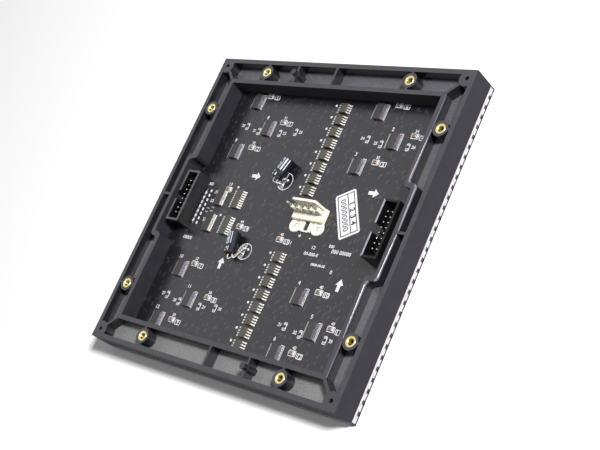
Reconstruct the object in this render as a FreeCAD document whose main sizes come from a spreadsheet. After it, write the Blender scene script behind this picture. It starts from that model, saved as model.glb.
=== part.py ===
import FreeCAD, Part
import Sketcher
import math
import os
import re

# Back of a square LED dot matrix module, lying on its light-mask face.
# Origin at the centre of the mask's face, +Z towards the back, lengths in millimetres.

os.makedirs("parts", exist_ok=True)
doc = FreeCAD.newDocument("led_dot_matrix")
sheet = doc.addObject("Spreadsheet::Sheet", "Sizes")

SIZES = [
    # whole module and its light mask
    ("module_side", 160.0), ("pixel_rows", 32),
    ("mask_height", 2.0), ("mask_face", 0.7), ("mask_rib", 2.0), ("mask_rim", 0.8),
    ("peg_side", 1.2), ("peg_spacing", 50.0),
    # circuit board with one lamp package behind each pixel
    ("board_front", 4.8), ("board_thick", 1.6), ("board_clearance", 0.2),
    ("lamp_length", 2.1), ("lamp_width", 2.1), ("lamp_height", 1.9), ("lamp_rings", 2),
    # moulded rear frame
    ("frame_front", 3.3), ("frame_back", 15.6), ("outer_wall", 2.4), ("skirt_wall", 1.2),
    ("channel_depth", 5.8), ("inner_wall", 2.2), ("side_band", 13.7), ("end_band", 14.0),
    ("jog_depth", 4.9), ("jog_span", 42.0), ("jog_radius", 2.3), ("jog_wall_radius", 2.3),
    ("middle_rib", 1.3), ("boss_rib", 1.2), ("diagonal_rib", 1.5), ("rib_sink", 0.5),
    ("corner_radius", 4.1), ("corner_inset_x", 4.1), ("corner_inset_y", 4.4),
    ("corner_hole", 1.0), ("corner_hole_depth", 8.0),
    ("boss_radius", 3.9), ("end_boss_x", 45.5), ("end_boss_inset", 7.0),
    ("side_boss_inset", 6.9), ("side_boss_y", 50.2),
    ("insert_radius", 2.6), ("insert_bore", 1.25), ("insert_depth", 5.0),
    ("post_radius", 1.5), ("post_root_radius", 1.9),
    ("post_x", 25.0), ("post_inset", 7.0), ("post_height", 2.5),
    # box headers for the data in and out
    ("header_inset", 16.2), ("header_y", 0.6), ("header_width", 8.8), ("header_length", 28.0),
    ("header_height", 9.0), ("header_wall", 1.2), ("header_floor", 2.4),
    ("key_width", 4.5), ("key_depth", 6.0),
    ("pin_pitch", 2.54), ("pin_side", 0.64), ("pin_height", 5.0),
    ("pin_columns", 2), ("pin_rows", 8),
    # power connector
    ("power_x", 15.5), ("power_y", 4.4), ("power_length", 19.0), ("power_width", 7.0),
    ("power_base", 2.7), ("power_apron_depth", 6.0),
    ("power_wall", 1.4), ("power_wall_x", 17.3), ("power_wall_length", 14.2),
    ("power_wall_height", 8.4), ("power_foot_radius", 3.6), ("power_foot_height", 1.0),
    ("power_foot_spacing", 13.6), ("power_foot_y", 1.6),
    ("power_pin_pitch", 3.96), ("power_pin_side", 1.14), ("power_pin_height", 7.8),
    ("power_pin_count", 5), ("power_pin_y", 5.2),
    # driver chips, row switches and bus chips
    ("driver_width", 3.9), ("driver_length", 8.2), ("driver_height", 1.5),
    ("driver_near_x", 28.2), ("driver_step_x", 14.9), ("driver_left_shift", 80.4),
    ("driver_top_gap", 1.4), ("driver_low_gap", 0.2),
    ("driver_top_pitch", 14.4), ("driver_low_pitch", 13.7),
    ("switch_width", 3.9), ("switch_length", 4.9), ("switch_height", 1.5),
    ("switch_x", 6.6), ("switch_top_start", 16.15), ("switch_low_start", 18.5),
    ("switch_top_gap", 2.95), ("switch_low_gap", 0.6), ("switch_count", 8),
    ("bus_width", 3.9), ("bus_length", 9.9), ("bus_height", 1.5),
    ("bus_near_x", 34.9), ("bus_far_gap", 6.25), ("bus_top_y", 6.2), ("bus_low_y", 8.1),
    # column of chip resistors beside the input header
    ("chip_length", 3.2), ("chip_width", 1.6), ("chip_height", 0.55),
    ("chip_gap", 0.8), ("chip_y", 0.5), ("chip_pitch", 2.56), ("chip_count", 8),
    # capacitors lying on the board
    ("can_radius", 3.15), ("can_length", 11.2),
    ("can_one_x", 11.5), ("can_one_y", 24.3), ("can_one_angle", 18.7),
    ("can_two_x", 22.0), ("can_two_y", 17.3), ("can_two_angle", 15.5),
    ("lead_side", 0.5), ("lead_reach", 3.0), ("lead_spread", 1.25),
    # label
    ("label_length", 23.8), ("label_width", 11.1), ("label_thick", 0.1),
    ("label_x", 35.2), ("label_y", 8.0), ("label_angle", 58.9),
]
for row, (alias, value) in enumerate(SIZES, start=1):
    sheet.set(f"A{row}", alias.replace("_", " "))
    sheet.set(f"B{row}", str(value))
    sheet.setAlias(f"B{row}", alias)
doc.recompute()

BOARD_BACK = "(board_front + board_thick)"
CHANNEL_FLOOR = "(frame_back - channel_depth)"
PIXEL_PITCH = "(module_side / pixel_rows)"
WINDOW_X = "(module_side - 2 * side_band)"
WINDOW_Y = "(module_side - 2 * end_band)"
CAN_HEIGHT = "(board_front + board_thick + can_radius)"
RIB_BASE = f"({CHANNEL_FLOOR} - rib_sink)"
RIB_HEIGHT = "(channel_depth + rib_sink)"


def num(alias):
    """Value of one named size."""
    return float(sheet.get(alias))


def bind(obj, prop, text):
    """Tie a property to an expression of named sizes."""
    obj.setExpression(prop, re.sub(r"[a-z]+_[a-z_]+", lambda word: f"Sizes.{word.group(0)}", text))


def place(obj, x, y, z):
    """Tie a placement's base to three expressions."""
    bind(obj, ".Placement.Base.x", x)
    bind(obj, ".Placement.Base.y", y)
    bind(obj, ".Placement.Base.z", z)


def block(name, length, width, height, x, y, z):
    """Box centred on x and y and standing on z."""
    obj = doc.addObject("Part::Box", name)
    bind(obj, "Length", length)
    bind(obj, "Width", width)
    bind(obj, "Height", height)
    place(obj, f"{x} - ({length}) / 2", f"{y} - ({width}) / 2", z)
    return obj


def rod(name, radius, height, x, y, z):
    """Upright cylinder standing on z."""
    obj = doc.addObject("Part::Cylinder", name)
    bind(obj, "Radius", radius)
    bind(obj, "Height", height)
    place(obj, x, y, z)
    return obj


def join(name, pieces):
    """Union of several objects."""
    obj = doc.addObject("Part::MultiFuse", name)
    obj.Shapes = pieces
    return obj


def cut(name, base, tool):
    """One object less another."""
    obj = doc.addObject("Part::Cut", name)
    obj.Base = base
    obj.Tool = tool
    return obj


def group(name, pieces):
    """Separate solids kept as one group."""
    obj = doc.addObject("Part::Compound", name)
    obj.Links = pieces
    return obj


def round_upright_edges(name, base, radius, x_limit):
    """Fillet the upright edges near the jogs of a window-like prism."""
    doc.recompute()
    obj = doc.addObject("Part::Fillet", name)
    obj.Base = base
    chosen = []
    for index, edge in enumerate(base.Shape.Edges, start=1):
        low, high = edge.BoundBox.ZMin, edge.BoundBox.ZMax
        near_jog = abs(edge.CenterOfMass.y) < num("module_side") / 4
        if high - low > radius and near_jog and abs(edge.CenterOfMass.x) > x_limit:
            chosen.append((index, radius, radius))
    obj.Edges = chosen
    return obj


# Rear frame: outer block, window with widened sides, channel round it, rebate for the board
def window_prism(name, grow, jog_grow, low, height):
    """Window outline grown outwards, as a cutter or as the inner wall's outside."""
    main = block(name + "_main", f"({WINDOW_X} + 2 * {grow})", f"({WINDOW_Y} + 2 * {grow})",
                 height, "0", "0", low)
    jog = block(name + "_jog", f"({WINDOW_X} + 2 * jog_depth + 2 * {jog_grow})",
                f"(jog_span + 2 * {jog_grow})", height, "0", "0", low)
    return join(name + "_outline", [main, jog])


frame_block = block("frame_block", "module_side", "module_side",
                    "(frame_back - frame_front)", "0", "0", "frame_front")
window = round_upright_edges(
    "window", window_prism("window", "0", "0", "frame_front", "(frame_back - frame_front)"),
    num("jog_radius"), num("module_side") / 2 - num("side_band") - num("rib_sink"))
wall_outside = round_upright_edges(
    "wall_outside", window_prism("wall", "inner_wall", "inner_wall", CHANNEL_FLOOR, "channel_depth"),
    num("jog_wall_radius"), num("module_side") / 2 - num("side_band") + num("rib_sink"))
channel_outside = block("channel_outside", "(module_side - 2 * outer_wall)",
                        "(module_side - 2 * outer_wall)", "channel_depth",
                        "0", "0", CHANNEL_FLOOR)
channel = cut("channel", channel_outside, wall_outside)
rebate = block("rebate", "(module_side - 2 * skirt_wall)", "(module_side - 2 * skirt_wall)",
               f"({BOARD_BACK} - frame_front)", "0", "0", "frame_front")
frame_shell = cut("frame_shell", frame_block, join("frame_spaces", [window, channel, rebate]))

frame_pieces = [frame_shell]
frame_holes = []
inserts = []
for side in (-1, 1):
    # Cross ribs at the middle of the sides
    across = f"({side} * (module_side - side_band + jog_depth) / 2)"
    reach = "(side_band - jog_depth - inner_wall)"
    frame_pieces.append(block(f"side_rib_{side + 2}", reach, "middle_rib", RIB_HEIGHT,
                              across, "0", RIB_BASE))
    along = f"({side} * (module_side - end_band) / 2)"
    depth = "(end_band - inner_wall)"
    frame_pieces.append(block(f"end_rib_{side + 2}", "middle_rib", depth, RIB_HEIGHT,
                              "0", along, RIB_BASE))
    # Locating post on a rib across the channel
    post_x, post_y = f"({-side} * post_x)", f"({side} * (module_side / 2 - post_inset))"
    frame_pieces.append(block(f"post_rib_{side + 2}", "boss_rib", depth, RIB_HEIGHT,
                              post_x, along, RIB_BASE))
    frame_pieces.append(rod(f"post_root_{side + 2}", "post_root_radius", RIB_HEIGHT,
                            post_x, post_y, RIB_BASE))
    frame_pieces.append(rod(f"post_{side + 2}", "post_radius", "(post_height + rib_sink)",
                            post_x, post_y, "(frame_back - rib_sink)"))
    for other in (-1, 1):
        tag = f"{side + 2}{other + 2}"
        # Corner boss with its diagonal rib and screw hole
        corner = (f"({side} * (module_side / 2 - corner_inset_x))",
                  f"({other} * (module_side / 2 - corner_inset_y))")
        frame_pieces.append(rod("corner_boss_" + tag, "corner_radius", RIB_HEIGHT,
                                *corner, RIB_BASE))
        frame_holes.append(rod("corner_hole_" + tag, "corner_hole", "corner_hole_depth",
                               *corner, "(frame_back - corner_hole_depth)"))
        rib = doc.addObject("Part::Box", "diagonal_rib_" + tag)
        bind(rib, "Length", "(side_band - corner_inset_x - inner_wall + rib_sink) * sqrt(2)")
        bind(rib, "Width", "diagonal_rib")
        bind(rib, "Height", RIB_HEIGHT)
        upright = FreeCAD.Vector(0, 0, 1)
        inward = FreeCAD.Rotation(upright, math.degrees(math.atan2(-other, -side)))
        edge = inward.multVec(FreeCAD.Vector(0, -num("diagonal_rib") / 2, 0))
        half_side = num("module_side") / 2
        centre = FreeCAD.Vector(side * (half_side - num("corner_inset_x")),
                                other * (half_side - num("corner_inset_y")), 0)
        rib.Placement = FreeCAD.Placement(centre + edge, inward)
        bind(rib, ".Placement.Base.z", RIB_BASE)
        frame_pieces.append(rib)
        # Bosses that hold the threaded inserts, each on a rib across the channel
        end_boss = (f"({side} * end_boss_x)", f"({other} * (module_side / 2 - end_boss_inset))")
        side_boss = (f"({side} * (module_side / 2 - side_boss_inset))", f"({other} * side_boss_y)")
        frame_pieces.append(block("end_boss_rib_" + tag, "boss_rib", depth, RIB_HEIGHT, end_boss[0],
                                  f"({other} * (module_side - end_band) / 2)", RIB_BASE))
        frame_pieces.append(block("side_boss_rib_" + tag,
                                  "(side_band - inner_wall)", "boss_rib", RIB_HEIGHT,
                                  f"({side} * (module_side - side_band) / 2)", side_boss[1],
                                  RIB_BASE))
        for kind, spot in (("end", end_boss), ("side", side_boss)):
            frame_pieces.append(rod(f"{kind}_boss_{tag}", "boss_radius", RIB_HEIGHT,
                                    *spot, RIB_BASE))
            seat = "(frame_back - insert_depth)"
            frame_holes.append(rod(f"{kind}_seat_{tag}", "insert_radius", "insert_depth",
                                   *spot, seat))
            sleeve = rod(f"{kind}_sleeve_{tag}", "insert_radius", "insert_depth", *spot, seat)
            thread = rod(f"{kind}_thread_{tag}", "insert_bore", "insert_depth", *spot, seat)
            inserts.append(cut(f"{kind}_insert_{tag}", sleeve, thread))
frame_body = join("frame_body", frame_pieces)
rear_frame = cut("rear_frame", frame_body, join("frame_drillings", frame_holes))
threaded_inserts = group("threaded_inserts", inserts)

# Light mask: a plate with one window row per pixel row, ribs between the rows, support pegs
mask_plate = block("mask_plate", "module_side", "module_side", "mask_height", "0", "0", "0")
slots = []
for index in range(int(num("pixel_rows"))):
    slot_y = f"(({index} + 0.5 - pixel_rows / 2) * {PIXEL_PITCH})"
    slot_width = f"({PIXEL_PITCH} - mask_rib)"
    slots.append(block(f"slot_{index}", "(module_side - 2 * mask_rim)", slot_width,
                       "mask_height", "0", slot_y, "0"))
    slots.append(block(f"notch_{index}", "module_side", slot_width,
                       "(mask_height - mask_face)", "0", slot_y, "mask_face"))
mask_grille = cut("mask_grille", mask_plate, group("mask_slots", slots))
mask_parts = [mask_grille]
for column in (-1, 0, 1):
    for line in (-1, 0, 1):
        mask_parts.append(block(f"peg_{column + 1}{line + 1}", "peg_side", "peg_side",
                                "(board_front - mask_face)", f"({column} * peg_spacing)",
                                f"({line} * peg_spacing)", "mask_face"))
led_mask = join("led_mask", mask_parts)

# Circuit board, padded from a square sketch on its own front plane
circuit_board = doc.addObject("PartDesign::Body", "circuit_board")
outline = circuit_board.newObject("Sketcher::SketchObject", "board_outline")
front_plane = [item for item in circuit_board.Origin.OriginFeatures if item.Role == "XY_Plane"][0]
outline.AttachmentSupport = [(front_plane, "")]
outline.MapMode = "FlatFace"
half_side = num("module_side") / 2
corners = [(-half_side, -half_side), (half_side, -half_side),
           (half_side, half_side), (-half_side, half_side)]
for start, end in zip(corners, corners[1:] + corners[:1]):
    outline.addGeometry(Part.LineSegment(FreeCAD.Vector(*start, 0), FreeCAD.Vector(*end, 0)))
for index in range(len(corners)):
    outline.addConstraint(Sketcher.Constraint("Coincident", index, 2, (index + 1) % 4, 1))
for index, direction in enumerate(("Horizontal", "Vertical", "Horizontal", "Vertical")):
    outline.addConstraint(Sketcher.Constraint(direction, index))
outline.addConstraint(Sketcher.Constraint("Symmetric", 0, 1, 1, 2, -1, 1))
width_row = outline.addConstraint(Sketcher.Constraint("DistanceX", 0, 1, 0, 2, 2 * half_side))
depth_row = outline.addConstraint(Sketcher.Constraint("DistanceY", 1, 1, 1, 2, 2 * half_side))
for constraint_row in (width_row, depth_row):
    bind(outline, f"Constraints[{constraint_row}]",
         "module_side - 2 * skirt_wall - 2 * board_clearance")
board_pad = circuit_board.newObject("PartDesign::Pad", "board_pad")
board_pad.Profile = outline
bind(board_pad, "Length", "board_thick")
circuit_board.Tip = board_pad
bind(circuit_board, ".Placement.Base.z", "board_front")

# Lamp packages of the outer rings, one behind each pixel, as one group of boxes
lamps = []
last = int(num("pixel_rows")) - 1
for column in range(last + 1):
    for line in range(last + 1):
        if min(column, line, last - column, last - line) < num("lamp_rings"):
            lamp_x = f"(({column} + 0.5 - pixel_rows / 2) * {PIXEL_PITCH})"
            lamp_y = f"(({line} + 0.5 - pixel_rows / 2) * {PIXEL_PITCH})"
            lamps.append(block(f"lamp_{column}_{line}", "lamp_length", "lamp_width", "lamp_height",
                               lamp_x, lamp_y, "(board_front - lamp_height)"))
led_packages = group("led_packages", lamps)

nodes = [rear_frame, threaded_inserts, led_mask, circuit_board, led_packages]


# Chips that stand on the back of the board
def chip(name, kind, x, y):
    """Chip body on the board's back face."""
    return block(name, f"{kind}_width", f"{kind}_length", f"{kind}_height", x, y, BOARD_BACK)


count = 0
for shift in (0, 1):
    for half, row_name in ((1, "driver_top"), (-1, "driver_low")):
        outermost = f"(module_side / 2 - end_band - {row_name}_gap - driver_length / 2)"
        for step in range(3):
            count += 1
            inward = step if half == 1 else 2 - step
            driver_x = f"(driver_near_x + {step % 2} * driver_step_x - {shift} * driver_left_shift)"
            driver_y = f"({half} * ({outermost} - {inward} * {row_name}_pitch))"
            nodes.append(chip(f"driver_ic_{count}", "driver", driver_x, driver_y))
for half, row_name in ((1, "switch_top"), (-1, "switch_low")):
    outermost = f"(module_side / 2 - end_band - {row_name}_gap - switch_length / 2)"
    pitch = f"(({outermost} - {row_name}_start) / (switch_count - 1))"
    for step in range(int(num("switch_count"))):
        inward = step if half == 1 else num("switch_count") - 1 - step
        switch_y = f"({half} * ({outermost} - {inward} * {pitch}))"
        number = step + 1 if half == 1 else step + 1 + int(num("switch_count"))
        nodes.append(chip(f"row_switch_{number}", "switch", "switch_x", switch_y))
chip_x = "(module_side / 2 - header_inset - header_width / 2 - chip_gap - chip_length / 2)"
far_x = f"({chip_x} - chip_length / 2 - bus_far_gap - bus_width / 2)"
for number, bus_x, bus_y in ((1, "-bus_near_x", "bus_top_y"), (2, "-bus_near_x", "-bus_low_y"),
                             (3, f"-{far_x}", "bus_top_y"), (4, f"-{far_x}", "-bus_low_y")):
    nodes.append(chip(f"bus_ic_{number}", "bus", bus_x, bus_y))
resistors = []
for index in range(int(num("chip_count"))):
    chip_y = f"(({index} + 0.5 - chip_count / 2) * chip_pitch - chip_y)"
    resistors.append(block(f"resistor_{index}", "chip_length", "chip_width", "chip_height",
                           f"-{chip_x}", chip_y, BOARD_BACK))
nodes.append(group("chip_resistors", resistors))

# Box headers with their pins
for name, side in (("input_header", -1), ("output_header", 1)):
    x = f"({side} * (module_side / 2 - header_inset))"
    shell = block(name + "_block", "header_width", "header_length", "header_height",
                  x, "header_y", BOARD_BACK)
    cavity = block(name + "_cavity", "(header_width - 2 * header_wall)",
                   "(header_length - 2 * header_wall)", "(header_height - header_floor)",
                   x, "header_y", f"({BOARD_BACK} + header_floor)")
    key = block(name + "_key", "header_wall", "key_width", "key_depth",
                f"({x} - (header_width - header_wall) / 2)", "header_y",
                f"({BOARD_BACK} + header_height - key_depth)")
    nodes.append(cut(name + "_shell", shell, join(name + "_spaces", [cavity, key])))
    pins = []
    for column in range(int(num("pin_columns"))):
        for line in range(int(num("pin_rows"))):
            pin_x = f"({x} + ({column} + 0.5 - pin_columns / 2) * pin_pitch)"
            pin_y = f"(header_y + ({line} + 0.5 - pin_rows / 2) * pin_pitch)"
            pins.append(block(f"{name}_pin_{column}_{line}", "pin_side", "pin_side",
                              "pin_height", pin_x, pin_y, f"({BOARD_BACK} + header_floor)"))
    nodes.append(group(name + "_pins", pins))

# Power connector: base with a tall back wall, and an apron between two round feet
power_top = f"({BOARD_BACK} + power_base)"
wall_y = "(power_y + (power_width - power_wall) / 2)"
power_parts = [
    block("power_base_block", "power_length", "power_width", "power_base",
          "power_x", "power_y", BOARD_BACK),
    block("power_back_wall", "power_wall_length", "power_wall", "(power_base + power_wall_height)",
          "power_wall_x", wall_y, BOARD_BACK),
]
power_front = "(power_y - power_width / 2)"
power_parts.append(block("power_apron", "power_foot_spacing", "power_apron_depth",
                         "power_foot_height", "power_x",
                         f"({power_front} - power_apron_depth / 2 + power_foot_height)",
                         BOARD_BACK))
for side in (-1, 1):
    power_parts.append(rod(f"power_foot_{side + 2}", "power_foot_radius", "power_foot_height",
                           f"(power_x + {side} * power_foot_spacing / 2)", "-power_foot_y",
                           BOARD_BACK))
nodes.append(join("power_header_body", power_parts))
power_pins = []
for index in range(int(num("power_pin_count"))):
    pin_x = f"(power_x + ({index} + 0.5 - power_pin_count / 2) * power_pin_pitch)"
    power_pins.append(block(f"power_pin_{index}", "power_pin_side", "power_pin_side",
                            "power_pin_height", pin_x, "power_pin_y", power_top))
nodes.append(group("power_header_pins", power_pins))

# Capacitors lying on the board, each with two bent leads
for number, word, sides in ((1, "one", (-1, 1, -1)), (2, "two", (-1, -1, 1))):
    turn = FreeCAD.Rotation(FreeCAD.Vector(0, 0, 1), sides[2] * num(f"can_{word}_angle"))
    lying = turn.multiply(FreeCAD.Rotation(FreeCAD.Vector(1, 0, 0), -90))
    along = turn.multVec(FreeCAD.Vector(0, 1, 0))
    across = turn.multVec(FreeCAD.Vector(1, 0, 0))
    middle = FreeCAD.Vector(sides[0] * num(f"can_{word}_x"), sides[1] * num(f"can_{word}_y"), 0)
    can = doc.addObject("Part::Cylinder", f"capacitor_{number}_can")
    bind(can, "Radius", "can_radius")
    bind(can, "Height", "can_length")
    foot = middle - along * (num("can_length") / 2)
    can.Placement = FreeCAD.Placement(foot, lying)
    bind(can, ".Placement.Base.z", CAN_HEIGHT)
    nodes.append(can)
    leads = []
    for side in (-1, 1):
        start = foot + across * (side * num("lead_spread"))
        corner = start - along * num("lead_reach") - across * (num("lead_side") / 2)
        level = doc.addObject("Part::Box", f"lead_level_{number}_{side + 2}")
        bind(level, "Length", "lead_side")
        bind(level, "Width", "lead_reach")
        bind(level, "Height", "lead_side")
        level.Placement = FreeCAD.Placement(corner, turn)
        bind(level, ".Placement.Base.z", f"{CAN_HEIGHT} - lead_side / 2")
        drop = doc.addObject("Part::Box", f"lead_drop_{number}_{side + 2}")
        bind(drop, "Length", "lead_side")
        bind(drop, "Width", "lead_side")
        bind(drop, "Height", "can_radius")
        drop.Placement = FreeCAD.Placement(corner, turn)
        bind(drop, ".Placement.Base.z", BOARD_BACK)
        leads.append(join(f"lead_{number}_{side + 2}", [level, drop]))
    nodes.append(group(f"capacitor_{number}_leads", leads))

# Paper label stuck to the board
label = doc.addObject("Part::Box", "paper_label")
bind(label, "Length", "label_length")
bind(label, "Width", "label_width")
bind(label, "Height", "label_thick")
label_turn = FreeCAD.Rotation(FreeCAD.Vector(0, 0, 1), -num("label_angle"))
to_corner = FreeCAD.Vector(-num("label_length") / 2, -num("label_width") / 2, 0)
label_middle = FreeCAD.Vector(num("label_x"), num("label_y"), 0)
label.Placement = FreeCAD.Placement(label_middle + label_turn.multVec(to_corner), label_turn)
bind(label, ".Placement.Base.z", BOARD_BACK)
nodes.append(label)

doc.recompute()
for obj in doc.Objects:
    if "Invalid" in obj.State or "Error" in obj.State:
        raise RuntimeError(f"{obj.Name} did not recompute")
for node in nodes:
    node.Label = node.Name
    if node.Shape.isNull() or not node.Shape.isValid():
        raise RuntimeError(f"{node.Name} has no valid shape")
    node.Shape.exportStep(f"parts/{node.Name}.step")
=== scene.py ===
import logging
import math
from dataclasses import dataclass, field
from enum import Enum, IntEnum
from typing import Iterator, Optional, Sequence

import bmesh
import bpy
from mathutils import Matrix, Vector


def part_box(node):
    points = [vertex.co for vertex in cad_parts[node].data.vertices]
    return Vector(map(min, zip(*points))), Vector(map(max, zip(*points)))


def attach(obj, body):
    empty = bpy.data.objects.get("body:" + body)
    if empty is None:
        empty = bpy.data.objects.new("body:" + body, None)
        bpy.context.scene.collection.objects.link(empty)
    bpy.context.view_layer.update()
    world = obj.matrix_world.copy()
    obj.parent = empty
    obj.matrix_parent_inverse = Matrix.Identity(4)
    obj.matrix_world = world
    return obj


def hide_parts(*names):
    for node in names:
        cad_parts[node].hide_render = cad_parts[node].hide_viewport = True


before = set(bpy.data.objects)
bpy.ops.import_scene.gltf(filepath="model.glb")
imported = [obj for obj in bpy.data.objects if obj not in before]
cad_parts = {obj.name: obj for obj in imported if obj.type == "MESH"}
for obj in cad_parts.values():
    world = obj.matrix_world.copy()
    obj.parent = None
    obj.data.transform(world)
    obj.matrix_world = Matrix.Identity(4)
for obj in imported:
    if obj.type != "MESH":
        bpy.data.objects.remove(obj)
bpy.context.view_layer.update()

LOG = logging.getLogger("led_module")
MM = 0.001
SHARP_EDGE = math.radians(40)
# Distance in mm that counts as at the same place, and share of a normal that counts as facing
NEAR = 0.1
FACING = 0.9
Pair = tuple[float, float]
Triple = tuple[float, float, float]
Tree = bpy.types.NodeTree
Socket = bpy.types.NodeSocket
ENDS = (-1, 1)


class Surface(Enum):
    """How a finish's two tones are laid out."""

    EVEN = "soft patches"
    PEBBLED = "in the grain"
    SOLDER_MASK = "holes and runs under solder mask"


class Area(IntEnum):
    """Areas of the frame's moulding, by material number."""

    PLAIN = 0
    CHANNEL_FLOOR = 1
    POLISHED = 2
    OUTER_FLANK = 3
    # Floor along the lower side, with a painted sheen
    LOWER_FLOOR = 4
    # Rounded rim, with a painted highlight
    ROUNDED_RIM = 5


def linear(colour: str) -> tuple[float, ...]:
    """Linear colour, with an alpha of 1, of an sRGB one given as a hash and six hex digits."""
    values = [int(colour[i:i + 2], 16) / 255 for i in (1, 3, 5)]
    return (*(v / 12.92 if v <= 0.04045 else ((v + 0.055) / 1.055) ** 2.4 for v in values), 1.0)


def add_node(tree: Tree, kind: str, inputs: Optional[dict] = None,
             **settings: object) -> bpy.types.Node:
    """Add one shader node with its settings and links.

    Args:
        tree: Node tree that gets the node.
        kind: Type name of the node, after the part that all shader nodes share.
        inputs: Values for its inputs, or the outputs that are linked to them.
        settings: Properties of the node and their values.

    Returns:
        The new node.
    """
    made = tree.nodes.new("ShaderNode" + kind)
    for name, value in settings.items():
        setattr(made, name, value)
    for name, value in (inputs or {}).items():
        if isinstance(value, Socket):
            tree.links.new(value, made.inputs[name])
        else:
            made.inputs[name].default_value = value
    return made


# Layers of marks under the solder mask: angle in degrees, length over width, spacing in mm,
# radius as a share of the spacing, and strength
TRACK_LAYERS = ((0.0, 1.0, 5.2, 0.08, 0.6), (84.0, 3.0, 4.6, 0.09, 0.4),
                (52.0, 3.4, 5.2, 0.09, 0.35), (66.0, 2.6, 7.5, 0.08, 0.3))


@dataclass(frozen=True)
class Finish:
    """One real material: its colour, gloss and the grain of its surface."""

    name: str
    colour: str
    second: str
    roughness: float
    ior: float = 1.5
    metallic: float = 0.0
    grain: float = 0.4
    relief: float = 0.1
    patch: float = 6.0
    specular: float = 0.5
    surface: Surface = Surface.EVEN
    bump_height: float = 0.1
    gloss_range: Pair = (0.92, 1.15)

    def material(self) -> bpy.types.Material:
        """Return the finish's material, made on first use."""
        return bpy.data.materials.get(self.name) or self._make()

    def _make(self) -> bpy.types.Material:
        """Build the material's nodes.

        Returns:
            The new material.
        """
        made = bpy.data.materials.new(self.name)
        made.use_nodes = True
        tree = made.node_tree
        shader = tree.nodes["Principled BSDF"]
        shader.inputs["Metallic"].default_value = self.metallic
        shader.inputs["IOR"].default_value = self.ior
        shader.inputs["Specular IOR Level"].default_value = self.specular
        made.diffuse_color = linear(self.colour)
        place = add_node(tree, "TexCoord").outputs["Object"]
        grain = add_node(tree, "TexNoise", {"Vector": place, "Scale": 1 / (self.grain * MM),
                                            "Detail": 3.0, "Roughness": 0.6}).outputs["Fac"]
        bump = add_node(tree, "Bump", {"Strength": self.relief, "Height": grain,
                                       "Distance": self.bump_height * MM})
        tree.links.new(bump.outputs["Normal"], shader.inputs["Normal"])
        share = self._share(tree, place, grain)
        blend = add_node(tree, "Mix", {0: share, 6: linear(self.colour), 7: linear(self.second)},
                         data_type="RGBA")
        tree.links.new(blend.outputs[2], shader.inputs["Base Color"])
        dull, duller = (self.roughness * limit for limit in self.gloss_range)
        gloss = add_node(tree, "MapRange", {"Value": share, "To Min": dull, "To Max": duller})
        tree.links.new(gloss.outputs["Result"], shader.inputs["Roughness"])
        return made

    def _share(self, tree: Tree, place: Socket, grain: Socket) -> Socket:
        """Work out where the second tone shows.

        Args:
            tree: The material's node tree.
            place: Object coordinates.
            grain: Height of the fine grain.

        Returns:
            Share of the second tone, from 0 to 1.
        """
        if self.surface is Surface.SOLDER_MASK:
            return self._tracks(tree, place)
        if self.surface is Surface.PEBBLED:
            height, low = grain, 0.3
        else:
            noise = {"Vector": place, "Scale": 1 / (self.patch * MM), "Detail": 4.0,
                     "Roughness": 0.65}
            height, low = add_node(tree, "TexNoise", noise).outputs["Fac"], 0.35
        return add_node(tree, "MapRange", {"Value": height, "From Min": low,
                                           "From Max": 0.7}).outputs["Result"]

    def _tracks(self, tree: Tree, place: Socket) -> Socket:
        """Lay out plated holes and short copper runs under the solder mask.

        Args:
            tree: The material's node tree.
            place: Object coordinates.

        Returns:
            Share of the lighter tone, from 0 to 1.
        """
        total = None
        for turn, stretch, spacing, reach, strength in TRACK_LAYERS:
            laid = add_node(tree, "Mapping", {"Vector": place, "Scale": (stretch, 1.0, 1.0),
                                              "Rotation": (0.0, 0.0, math.radians(turn))},
                            vector_type="TEXTURE")
            cells = add_node(tree, "TexVoronoi", {"Vector": laid.outputs["Vector"],
                                                  "Scale": 1 / (spacing * MM),
                                                  "Randomness": 1.0}, voronoi_dimensions="2D")
            marks = add_node(tree, "MapRange", {"Value": cells.outputs["Distance"],
                                                "From Min": reach * 0.6, "From Max": reach,
                                                "To Min": strength, "To Max": 0.0})
            layer = marks.outputs["Result"]
            total = layer if total is None else add_node(
                tree, "Math", {0: total, 1: layer}, operation="MAXIMUM").outputs["Value"]
        return total


# Charcoal ABS off a spark-eroded mould: dull grey-black, the pebble spreads every highlight
CHARCOAL_ABS = Finish("charcoal_abs", "#36353b", "#3f3e44", 0.42, ior=1.54, grain=0.5,
                      relief=0.3, specular=0.4)
# The same ABS on the outer flanks and beside the board: a deeper spark texture that breaks up
# the grazing sheen
SPARKED_ABS = Finish("sparked_abs", "#26252b", "#2e2d33", 0.75, ior=1.54, grain=0.6,
                     relief=0.5, specular=0.15)
# The same ABS on the channels' floors, where a coarse mould texture greys it, drawn lighter
# than the rims partly as a painted sheen; pebble drawn at twice its real size so that it shows
# at this distance
PEBBLED_ABS = Finish("pebbled_abs", "#45444a", "#616066", 0.4, ior=1.54, grain=0.9,
                     relief=0.5, surface=Surface.PEBBLED)
# Painted sheen: the same floor along the lower side, drawn a lighter grey for the brighter
# light it catches there
SHEEN_FLOOR_ABS = Finish("painted_sheen_floor_abs", "#6a6a6a", "#868685", 0.4, ior=1.54, grain=0.9,
                     relief=0.5, surface=Surface.PEBBLED)
# The same ABS where the mould was polished for the pins: near black with sharp glints
POLISHED_ABS = Finish("polished_abs", "#1d1d22", "#25252a", 0.2, ior=1.54, relief=0.05,
                      patch=9.0)
# Painted highlight: the same ABS on the rounded rim, drawn light and slightly violet for the
# streak of light along it
HIGHLIGHT_RIM_ABS = Finish("painted_highlight_rim_abs", "#857d8c", "#625c68", 0.25, ior=1.54, relief=0.05)
# Black polycarbonate off a dull mould: the mask stays dark from every side
BLACK_POLYCARBONATE = Finish("black_polycarbonate", "#141416", "#1a1a1c", 0.55, ior=1.58,
                             grain=0.3, relief=0.2)
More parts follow.
